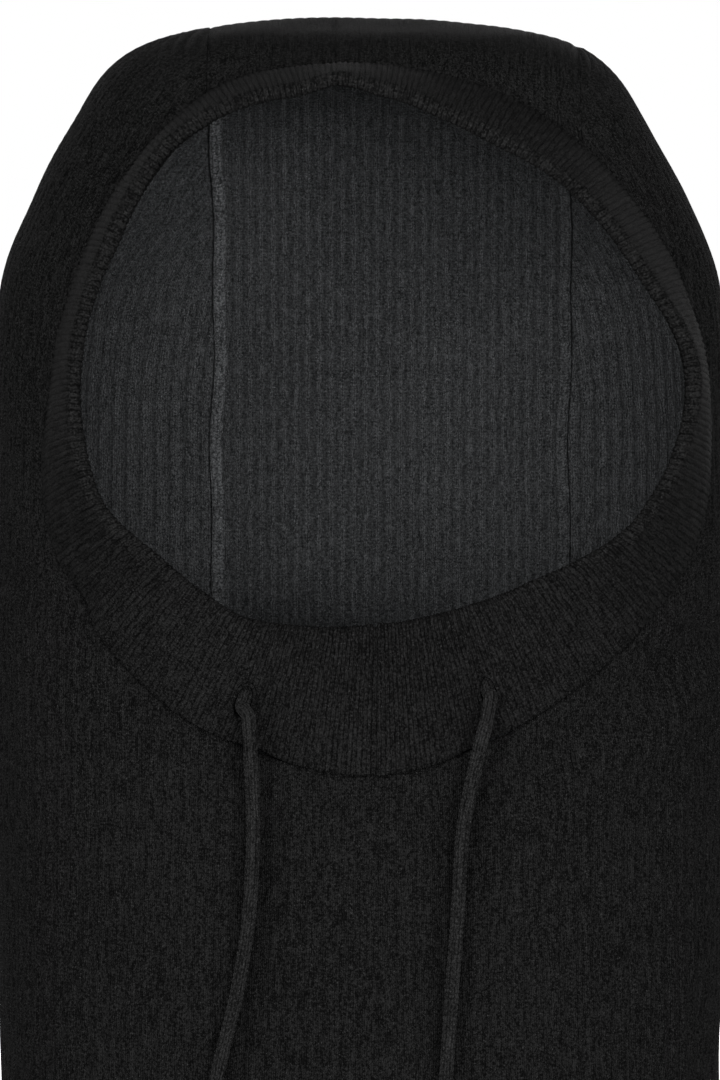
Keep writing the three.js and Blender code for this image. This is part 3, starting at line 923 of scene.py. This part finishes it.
def band_frame(share):
    """Seam point, step across to the free edge, direction along, and direction out of the band."""
    seam, edge = ring_at(BAND_ROOT, share), ring_at(EDGE_RING, share)
    before = ring_at(BAND_ROOT, share - 0.01) + ring_at(EDGE_RING, share - 0.01)
    after = ring_at(BAND_ROOT, share + 0.01) + ring_at(EDGE_RING, share + 0.01)
    along = unit(after - before)
    across = edge - seam
    out = unit(np.cross(along, across))
    forward = np.full(len(seam), -40 * MM)
    away = np.stack([seam[:, 0] - FACE_CENTRE[0], forward, seam[:, 2] - FACE_CENTRE[1]], axis=1)
    out = np.where(np.sum(out * away, axis=1, keepdims=True) < 0, -out, out)
    return seam, across, along, out


def band_axes(share):
    """The band's frame at one share of a turn."""
    return (part[0] for part in band_frame(np.array([share % 1])))


def casing_room(width):
    """Half the room between the layers, which closes towards the seam and the fold."""
    return GAP / 2 + (CASING - GAP / 2) * np.sin(np.pi * np.clip(width, 0, 1)) ** 0.6


def rib_columns(settings):
    """Shares of a turn with a whole number of ribs round, and each one's place in ribs.

    The ribs are closest below the chin, where the drawcord gathers them, and open at the sides.
    """
    share = np.arange(RING_POINTS) / RING_POINTS
    middle = (BAND_ROOT + EDGE_RING) / 2
    step = np.linalg.norm(np.roll(middle, -1, 0) - middle, axis=1)
    chin = np.exp(-((share - 0.75) / 0.085) ** 2)
    brow = np.exp(-((share - 0.25) / 0.12) ** 2)
    pitch = settings.band_pitch_side - (settings.band_pitch_side - settings.band_pitch_chin) * chin
    pitch = pitch - 0.4 * MM * brow
    turns = np.concatenate([[0], np.cumsum(step / pitch)])
    ribs = int(round(turns[-1]))
    places = np.arange(ribs * RIB_SAMPLES) / RIB_SAMPLES
    ends = np.arange(RING_POINTS + 1) / RING_POINTS
    return np.interp(places, turns * ribs / turns[-1], ends), places


def band_sheet(settings, side):
    """One layer of the folded band, as points on its far face: rows across, columns round.

    side is 1 for the outer layer and -1 for the inner one. Across the flat the face bulges out
    by the casing's room and the layer, and past the fold the outer layer rolls round a half
    circle, under which the inner one ends. Ribs run straight across, and a groove marks the join.
    """
    share, places = rib_columns(settings)
    seam, across, _, out = band_frame(share)
    reach = unit(across)
    width = np.concatenate([np.linspace(0.012, 0.06, 3), np.linspace(0.12, FOLD_PLACE, 14)])
    lift = casing_room(width) + LAYER
    roll = np.radians(np.linspace(0, 172, 9)[1:]) if side > 0 else np.radians([30, 60])
    radius = lift[-1]
    spread = np.concatenate([np.zeros(len(width)), radius * np.sin(roll)])
    height = np.concatenate([lift, radius * np.cos(roll)])
    lean = np.concatenate([np.zeros(len(width)), roll])
    width = np.concatenate([width, np.full(len(roll), FOLD_PLACE)])
    base = (seam[None] + across[None] * width[:, None, None] + reach[None] * spread[:, None, None]
            + out[None] * (side * height)[:, None, None])
    normal = side * out[None] * np.cos(lean)[:, None, None] + reach[None] * np.sin(lean)[:, None, None]
    ribs = settings.band_relief * (np.abs(np.cos(np.pi * places)) ** 0.7 - 0.6)
    distance = np.minimum(np.abs(share - JOIN_SHARE), 1 - np.abs(share - JOIN_SHARE)) * 830 * MM
    groove = -1.1 * MM * np.exp(-(distance / (0.9 * MM)) ** 2)
    groove = groove + 0.7 * MM * np.exp(-((distance - 3 * MM) / (1.6 * MM)) ** 2)
    wave = 0.5 * MM * ripple(base, 38 * MM, 17) + 0.25 * MM * ripple(base, 11 * MM, 23)
    wave = wave + side * soft_folds(base)
    points = base + normal * (ribs + groove + wave)[..., None]
    sideways = np.diff(width) * 45 * MM + np.diff(spread)
    steps = np.cumsum(np.concatenate([[0], np.hypot(sideways, np.diff(height))]))
    chart = wound_chart(places + 0.5, steps / (1.3 * MM))
    return points, chart


def open_slits(points, quads):
    """Drops the quads inside each slit's oval and draws its rim onto the oval."""
    grid = points.reshape(-1, 3)
    keep = np.ones(len(quads), bool)
    for angle in EYELET_ANGLES.values():
        seam, across, along, out = band_axes(angle / 360)
        centre = seam + across * EYELET_LEVEL
        up = unit(across)
        offset = grid - centre
        first, second = offset @ along, offset @ up
        near = np.abs(offset @ out) < 9 * MM
        radius = np.hypot(first / EYELET_HALF[0], second / EYELET_HALF[1])
        inside = (radius[quads].mean(axis=1) < 1) & near[quads].all(axis=1)
        keep &= ~inside
        rim = np.intersect1d(quads[inside], quads[~inside])
        change = (1 / np.maximum(radius[rim], 0.2) - 1)[:, None]
        grid[rim] += change * (first[rim, None] * along + second[rim, None] * up)
    return grid, quads[keep]


def make_band_layer(settings, side):
    """The outer (side 1) or inner (side -1) layer of the band, as a knitted wall."""
    points, chart = band_sheet(settings, side)
    rows, columns = points.shape[:2]
    quads = grid_faces(rows, columns, closed_columns=True)
    flat = points.reshape(-1, 3).copy()
    if side > 0:
        flat, quads = open_slits(flat, quads)
    used, quads_used = np.unique(quads, return_inverse=True)
    quads = quads_used.reshape(quads.shape)
    flat = flat[used]
    chart = chart.reshape(-1, 2)[used]
    word = "outer" if side > 0 else "inner"
    piece = add_object(f"band_{word}_rib", flat, quads, chart)
    face_band_outwards(piece, side)
    wall = add_wall(piece, LAYER - 0.2 * MM)
    wall.use_even_offset = False
    return finish_piece(piece, [FINISHES["band"]], f"band_{word}_layer")


def face_band_outwards(piece, side):
    """Flips a band layer whose faces look into the casing instead of away from it."""
    mesh = piece.data
    centres = np.empty(len(mesh.polygons) * 3, np.float32)
    normals = np.empty(len(mesh.polygons) * 3, np.float32)
    mesh.polygons.foreach_get("center", centres)
    mesh.polygons.foreach_get("normal", normals)
    sample = slice(0, len(mesh.polygons), 97)
    centres, normals = centres.reshape(-1, 3)[sample], normals.reshape(-1, 3)[sample]
    middle = (BAND_ROOT + EDGE_RING) / 2
    nearest = np.argmin(np.linalg.norm(centres[:, None] - middle[None], axis=2), axis=1)
    out = band_frame(np.arange(RING_POINTS) / RING_POINTS)[3][nearest]
    if np.sum(normals * out) * side < 0:
        mesh.flip_normals()


def make_band_seam():
    """The overlocked seam inside the panels, round the root of the band."""
    share = np.arange(1500) / 1500
    ring = ring_at(SEAM_RING, share)
    level = np.zeros(len(ring))
    away = unit(np.stack([ring[:, 0] - FACE_CENTRE[0], level, ring[:, 1] - FACE_CENTRE[1]], axis=1))
    base = np.stack([ring[:, 0], level, ring[:, 1]], axis=1) + 3.2 * MM * away
    base[:, 1] = HOOD.front(base[:, 0], base[:, 2])
    out = HOOD.outward(base)
    side = unit(away - out * np.sum(away * out, axis=1, keepdims=True))
    centre = base - out * (KNIT + 1.4 * MM - soft_folds(base)[:, None])
    turn = np.linspace(0, 2 * np.pi, 14, endpoint=False)
    stitches = share * 420
    twist = np.abs(np.sin(np.pi * stitches[:, None] + turn[None, :])) ** 0.7
    size = 1 + 0.22 * (twist - 0.5)
    section = np.stack([2.0 * MM * np.cos(turn) * size, 1.4 * MM * np.sin(turn) * size], axis=-1)
    loops = carry_section(centre, side, out, section)
    chart = wound_chart(turn / np.pi * 2, stitches)
    piece = loop_mesh("band_seam_stitching", loops, chart, closed=True)
    return finish_piece(piece, [FINISHES["seam"]], "band_seam")


def make_band_join():
    """The allowance of the band's join, lying inside the casing below the chin."""
    width = np.linspace(0.1, 0.9, 60)
    seam, across, along, out = band_axes(JOIN_SHARE)
    centre = seam + across * width[:, None]
    turn = np.linspace(0, 2 * np.pi, 16, endpoint=False)
    room = casing_room(width) - 0.3 * MM
    beat = 1 + 0.12 * np.sin(2 * np.pi * width * 26)
    wide = 3 * MM * np.cos(turn)[None] * beat[:, None]
    thick = (room * beat)[:, None] * np.sin(turn)[None]
    section = np.stack([wide, thick], axis=-1)
    repeats = (len(centre), 1)
    loops = carry_section(centre, np.tile(along, repeats), np.tile(out, repeats), section)
    chart = wound_chart(turn / np.pi, width * 30)
    piece = loop_mesh("band_join_stitching", loops, chart, closed=False)
    return finish_piece(piece, [FINISHES["seam"]], "band_join_seam")


def make_eyelet(side):
    """A whipped edge round a slit: a bead on an oval, wound with slanting stitches."""
    seam, across, along, out = band_axes(EYELET_ANGLES[side] / 360)
    up = unit(across)
    count = 220
    turn = np.arange(count) / count * 2 * np.pi
    around = np.linspace(0, 2 * np.pi, 14, endpoint=False)
    centre = seam + across * EYELET_LEVEL + out * (CASING + LAYER - 0.1 * MM)
    half_width, half_height = EYELET_HALF
    path = centre + np.outer(half_width * np.cos(turn), along) + np.outer(half_height * np.sin(turn), up)
    away = unit(np.outer(np.cos(turn) * half_height, along) + np.outer(np.sin(turn) * half_width, up))
    wound = np.abs(np.sin(turn[:, None] * 22 + around[None, :] * 0.8)) ** 0.7
    size = 0.85 + 0.35 * wound
    section = np.stack([0.6 * MM * np.cos(around) * size, 0.6 * MM * np.sin(around) * size], axis=-1)
    loops = carry_section(path, away, np.tile(out, (count, 1)), section)
    chart = wound_chart(around / np.pi, turn * 7)
    piece = loop_mesh(f"{side}_eyelet_whipping", loops, chart, closed=True)
    return finish_piece(piece, [FINISHES["band"]], f"{side}_eyelet")


# ---- Drawcord ------------------------------------------------------------------------------


def cord_tube(name, path, flatness):
    """A knitted tube along a path: a round section with wales of V stitches standing on it.

    flatness is the share of the radius that is left towards the hood at each path point.
    """
    path = np.asarray(path, float)
    length = np.linalg.norm(np.diff(path, axis=0), axis=1).sum()
    rows = int(length / CORD_STEP)
    line = even_line(np.column_stack([path, flatness]), rows)
    centre, thin = line[:, :3], line[:, 3]
    along = unit(np.gradient(centre, axis=0))
    side = unit(np.cross(along, np.array([0.0, -1.0, 0.0])))
    out = unit(np.cross(side, along))
    turn = np.linspace(0, 2 * np.pi, 48, endpoint=False)
    distance = np.linspace(0, length, rows)
    wale, course = turn / (2 * np.pi) * CORD_WALES, distance / CORD_STITCH
    stitch = knit_stitch(wale[None, :], course[:, None])
    radius = CORD_RADIUS - 0.42 * MM + 0.62 * MM * stitch
    section = np.stack([radius * np.cos(turn), radius * np.sin(turn) * thin[:, None]], axis=-1)
    loops = carry_section(centre, side, out, section)
    chart = wound_chart(wale, course)
    return loop_mesh(name, loops, chart, closed=False), centre


def casing_point(angle, width, lift):
    """A point of the band at an angle in degrees, a share of its width and a lift."""
    seam, across, _, out = band_axes(angle / 360)
    return seam + across * width + out * lift * MM


def slit_route(side):
    """Points of the cord from inside the casing out through its slit, with their flatness."""
    angle = EYELET_ANGLES[side]
    turn = -1 if side == "left" else 1
    # Degrees from the slit, share of the band's width, lift in millimetres, share of thickness left.
    stations = [(RUN_START, RUN_LEVEL, 0.0, 0.62), (8, RUN_LEVEL, 0.0, 0.62),
                (4, 0.54, 0.1, 0.62), (1.6, 0.5, 0.3, 0.65),
                (0.2, 0.44, 0.9, 0.8), (0, 0.405, 3.2, 0.9), (0, 0.375, 5.0, 1), (0, 0.35, 6.4, 1)]
    points = [casing_point(angle + turn * ahead, width, lift) for ahead, width, lift, _ in stations]
    return points, [flat for *_, flat in stations]


def make_cord(side):
    """The drawn length through the slit and the hanging tail below its bending place."""
    route = {key: np.array(points) * MM for key, points in ROUTES[side].items()}
    hidden, flatness = slit_route(side)
    drawn = np.vstack([hidden, route["draw"], route["tail"][:1]])
    path = smooth_line(drawn, 160)
    flat = smooth_line(np.array([flatness + [1] * 4]).T, len(path))[:, 0]
    neck, line = cord_tube(f"{side}_cord_neck", path, flat)
    finish_piece(neck, [FINISHES["cord"]], f"{side}_cord_draw", body=None)
    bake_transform(neck)

    lead = route["draw"][-1:]
    path = smooth_line(np.vstack([lead, route["tail"]]), 300)
    tail, line = cord_tube(f"{side}_cord_hanging", path, np.ones(len(path)))
    ending = make_knot(side, route["tail"][-1])
    finish_piece(tail, [FINISHES["cord"]], f"{side}_cord_tail", body=None)
    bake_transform(tail)


def make_knot(side, end):
    """A tight overhand knot with a short brush of cord below it."""
    turn = np.linspace(0, 2 * np.pi, 260, endpoint=False)
    size = 1.18 * MM
    reach = 2 + np.cos(3 * turn)
    curve = np.stack([reach * np.cos(2 * turn) * size, np.sin(3 * turn) * size * 1.5,
                      reach * np.sin(2 * turn) * size * 1.1], axis=1)
    centre = end - np.array([0, 0, KNOT_DROP])
    around = np.linspace(0, 2 * np.pi, 20, endpoint=False)
    along = unit(np.roll(curve, -1, 0) - np.roll(curve, 1, 0))
    side_way = unit(np.cross(along, unit(curve)))
    out = np.cross(side_way, along)
    stitch = knit_stitch(around[None, :] / (2 * np.pi) * 5, turn[:, None] * 9)
    radius = 1.55 * MM + 0.3 * MM * stitch
    section = np.stack([radius * np.cos(around), radius * np.sin(around)], axis=-1)
    loops = carry_section(curve + centre, side_way, out, section)
    chart = wound_chart(around / (2 * np.pi) * 5, turn * 9)
    knot = loop_mesh(f"{side}_cord_overhand", loops, chart, closed=True)
    finish_piece(knot, [FINISHES["cord"]], f"{side}_cord_knot", body=f"{side}_tail")

    brush_line = centre + np.outer(np.linspace(3.5, -11.5, 40), [0, 0, 1]) * MM
    brush, _ = cord_tube(f"{side}_cord_brush", brush_line, np.ones(len(brush_line)))
    brush.data.materials.append(FINISHES["cord"])
    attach(brush, f"{side}_tail")
    return knot, brush


def make_cord_run():
    """The flattened length inside the casing, from slit to slit over the forehead."""
    left = EYELET_ANGLES["left"] - RUN_START
    right = EYELET_ANGLES["right"] - 360 + RUN_START
    share = np.linspace(left, right, 260) / 360
    seam, across, _, out = band_frame(share)
    path = seam + across * RUN_LEVEL
    turn = np.linspace(0, 2 * np.pi, 16, endpoint=False)
    along = unit(np.gradient(path, axis=0))
    side = unit(np.cross(along, out))
    section = np.stack([CORD_RADIUS * np.cos(turn), 1.5 * MM * np.sin(turn)], axis=-1)
    loops = carry_section(path, side, out, section)
    chart = wound_chart(turn / (2 * np.pi) * CORD_WALES, np.arange(len(path)) * 1.6)
    piece = loop_mesh("drawcord_in_casing", loops, chart, closed=False)
    return finish_piece(piece, [FINISHES["cord"]], "drawcord_run")


# ---- Camera, floor and light ---------------------------------------------------------------


def aim(thing, target):
    """Turns a light or camera so that it looks at a target."""
    direction = Vector(target) - thing.location
    thing.rotation_euler = direction.to_track_quat("-Z", "Y").to_euler()


def make_camera(settings):
    """A camera level with the hood's middle, straight in front of it."""
    lens = bpy.data.cameras.new("front camera")
    lens.sensor_width = 36
    frame_height = 388.8 * MM
    lens.lens = lens.sensor_width * settings.camera_distance / frame_height
    lens.clip_end = 30
    camera = bpy.data.objects.new("front camera", lens)
    camera.location = (0, -settings.camera_distance, settings.camera_height)
    camera.rotation_euler = (math.radians(90), 0, 0)
    bpy.context.scene.collection.objects.link(camera)
    bpy.context.scene.camera = camera


def add_light(name, place, target, size, power):
    """A soft rectangular lamp at a place, aimed at a target."""
    lamp = bpy.data.lights.new(name, "AREA")
    lamp.shape = "RECTANGLE"
    lamp.size, lamp.size_y = size
    lamp.energy = power
    light = bpy.data.objects.new(name, lamp)
    light.location = place
    bpy.context.scene.collection.objects.link(light)
    aim(light, target)


def make_studio(settings):
    """A white surround, a pale floor, and soft lamps in front, above and behind."""
    scene = bpy.context.scene
    scene.view_settings.view_transform = "Standard"
    world = bpy.data.worlds.new("white surround")
    world.use_nodes = True
    world.node_tree.nodes["Background"].inputs[0].default_value = (1, 1, 1, 1)
    world.node_tree.nodes["Background"].inputs[1].default_value = settings.surround
    scene.world = world
    middle = (0, 0, 0.24)
    add_light("key", (-1.1, -2.5, 0.8), middle, (0.8, 0.8), settings.key_power)
    add_light("fill", (0.3, -2.0, 0.27), (0, 0.1, 0.38), (1.6, 0.3), settings.fill_power)
    add_light("top", (0.1, -0.4, 2.4), middle, (1.8, 1.8), settings.top_power)
    for name, x in (("back left", -0.9), ("back right", 0.9)):
        add_light(name, (x, 2.4, 1.1), middle, (1.2, 0.8), settings.back_power)
    corner = 3.0
    grid = np.array([[[x, y, 0] for x in (-corner, corner)] for y in (-corner, corner)], float)
    floor = add_object("pale_floor", grid, grid_faces(2, 2), grid[..., :2])
    floor.data.materials.append(flat_finish("pale floor", grey(0.8), grey(0.84), 3))


# ---- Settings ------------------------------------------------------------------------------


class BalaclavaColours(bpy.types.PropertyGroup):
    """Brightness of each yarn, as a share of full white. The inner yarn is lighter partly by its own slate
    tone and partly as painted light for the shade inside the hood, and the cord yarn is set lighter as a
    painted highlight.
    """

    outside: bpy.props.FloatProperty(
        name="Body yarn", description="Brightness of the outer face of the panels", default=0.0052,
        min=0, max=1, subtype="FACTOR")
    # partly the inner face's own slate tone, partly painted light for the shade inside the hood
    inside: bpy.props.FloatProperty(
        name="Inner yarn", description="Brightness of the inner face of the panels", default=0.0280,
        min=0, max=1, subtype="FACTOR")
    band: bpy.props.FloatProperty(
        name="Band yarn", description="Brightness of the ribbed face band", default=0.0051,
        min=0, max=1, subtype="FACTOR")
    # painted highlight: lighter than the body yarn, for the light the cord catches
    cord: bpy.props.FloatProperty(
        name="Cord yarn", description="Brightness of the drawcord", default=0.0078,
        min=0, max=1, subtype="FACTOR")


class BalaclavaKnit(bpy.types.PropertyGroup):
    """Spacing and relief of the ribs."""

    rib_pitch: bpy.props.FloatProperty(
        name="Body rib pitch", description="Distance between the ribs of the wrap panel",
        default=6.2 * MM, unit="LENGTH")
    crown_pitch: bpy.props.FloatProperty(
        name="Crown rib pitch", description="Distance between the ribs of the crown panel",
        default=4.4 * MM, unit="LENGTH")
    crown_relief: bpy.props.FloatProperty(
        name="Crown rib relief", description="Height of the crown ribs above their valleys",
        default=0.2 * MM, unit="LENGTH")
    rib_relief: bpy.props.FloatProperty(
        name="Body rib relief", description="Height of the body ribs above their valleys",
        default=0.9 * MM, unit="LENGTH")
    band_pitch_side: bpy.props.FloatProperty(
        name="Band pitch at sides", description="Distance between band ribs where the band lies open",
        default=2.3 * MM, unit="LENGTH")
    band_pitch_chin: bpy.props.FloatProperty(
        name="Band pitch at chin", description="Distance between band ribs where the drawcord gathers them",
        default=1.5 * MM, unit="LENGTH")
    band_relief: bpy.props.FloatProperty(
        name="Band rib relief", description="Height of the band ribs above their valleys",
        default=0.55 * MM, unit="LENGTH")


class BalaclavaStudio(bpy.types.PropertyGroup):
    """Camera place and strengths of the light."""

    camera_distance: bpy.props.FloatProperty(
        name="Camera distance", description="Distance of the camera in front of the head's axis",
        default=2.5, unit="LENGTH")
    camera_height: bpy.props.FloatProperty(
        name="Camera height", description="Height of the level camera above the hem",
        default=0.2487, unit="LENGTH")
    surround: bpy.props.FloatProperty(
        name="Surround", description="Strength of the even white light all round", default=1.0)
    key_power: bpy.props.FloatProperty(
        name="Key", description="Power of the front left lamp", default=36.0, unit="POWER")
    fill_power: bpy.props.FloatProperty(
        name="Fill", description="Power of the low front lamp", default=52.0, unit="POWER")
    top_power: bpy.props.FloatProperty(
        name="Top", description="Power of the lamp overhead", default=6.0, unit="POWER")
    back_power: bpy.props.FloatProperty(
        name="Back", description="Power of each lamp behind", default=60.0, unit="POWER")


# ---- Operators -----------------------------------------------------------------------------


class BALACLAVA_OT_finishes(bpy.types.Operator):
    """Mix the yarn finishes"""

    bl_idname = "balaclava.finishes"
    bl_label = "Yarn Finishes"

    def execute(self, context):
        mix_finishes(context.scene.balaclava_colours)
        return {"FINISHED"}


class BALACLAVA_OT_stage(bpy.types.Operator):
    """Set up the camera, the pale floor and the soft light"""

    bl_idname = "balaclava.stage"
    bl_label = "Studio"

    def execute(self, context):
        make_camera(context.scene.balaclava_studio)
        make_studio(context.scene.balaclava_studio)
        return {"FINISHED"}


class BALACLAVA_OT_cords(bpy.types.Operator):
    """Knit the drawcord: both hanging ends with their knots, and the length in the casing"""

    bl_idname = "balaclava.cords"
    bl_label = "Drawcord"

    def execute(self, context):
        for side in ("left", "right"):
            make_cord(side)
        make_cord_run()
        return {"FINISHED"}


class BALACLAVA_OT_panels(bpy.types.Operator):
    """Knit the crown panel and the wrap panel"""

    bl_idname = "balaclava.panels"
    bl_label = "Body Panels"

    def execute(self, context):
        make_crown_panel(context.scene.balaclava_knit)
        make_wrap_panel(context.scene.balaclava_knit)
        return {"FINISHED"}


class BALACLAVA_OT_band(bpy.types.Operator):
    """Knit the folded face band with its slits"""

    bl_idname = "balaclava.band"
    bl_label = "Face Band"

    def execute(self, context):
        for side in (1, -1):
            make_band_layer(context.scene.balaclava_knit, side)
        for side in ("left", "right"):
            make_eyelet(side)
        return {"FINISHED"}


class BALACLAVA_OT_seams(bpy.types.Operator):
    """Sew the panel seams, the band's seam and its join"""

    bl_idname = "balaclava.seams"
    bl_label = "Seams"

    def execute(self, context):
        for side in ("left", "right"):
            make_panel_seam(side)
        make_band_seam()
        make_band_join()
        return {"FINISHED"}


class BALACLAVA_OT_hem(bpy.types.Operator):
    """Knit the hem round the neck and its seam"""

    bl_idname = "balaclava.hem"
    bl_label = "Hem"

    def execute(self, context):
        make_hem()
        return {"FINISHED"}


OPERATORS = (
    BALACLAVA_OT_finishes, BALACLAVA_OT_stage, BALACLAVA_OT_cords, BALACLAVA_OT_panels,
    BALACLAVA_OT_band, BALACLAVA_OT_seams, BALACLAVA_OT_hem,
)


class BALACLAVA_PT_maker(bpy.types.Panel):
    """Settings and steps of the balaclava"""

    bl_label = "Knitted Balaclava"
    bl_idname = "BALACLAVA_PT_maker"
    bl_space_type = "VIEW_3D"
    bl_region_type = "UI"
    bl_category = "Balaclava"

    def draw(self, context):
        layout = self.layout
        for name in SETTINGS:
            group = getattr(context.scene, name)
            box = layout.box()
            for key in group.__annotations__:
                box.prop(group, key)
        for step in OPERATORS:
            layout.operator(step.bl_idname)


SETTINGS = {
    "balaclava_colours": BalaclavaColours,
    "balaclava_knit": BalaclavaKnit,
    "balaclava_studio": BalaclavaStudio,
}
CLASSES = (*SETTINGS.values(), *OPERATORS, BALACLAVA_PT_maker)


def register():
    """Adds the settings, the operators and the panel to Blender."""
    for part in CLASSES:
        bpy.utils.register_class(part)
    for name, group in SETTINGS.items():
        setattr(bpy.types.Scene, name, bpy.props.PointerProperty(type=group))


def unregister():
    """Takes them away again."""
    for name in SETTINGS:
        delattr(bpy.types.Scene, name)
    for part in reversed(CLASSES):
        bpy.utils.unregister_class(part)


def main():
    """Builds the hood, one operator after another."""
    register()
    for step in OPERATORS:
        group, name = step.bl_idname.split(".")
        getattr(getattr(bpy.ops, group), name)()


if __name__ == "__main__":
    main()
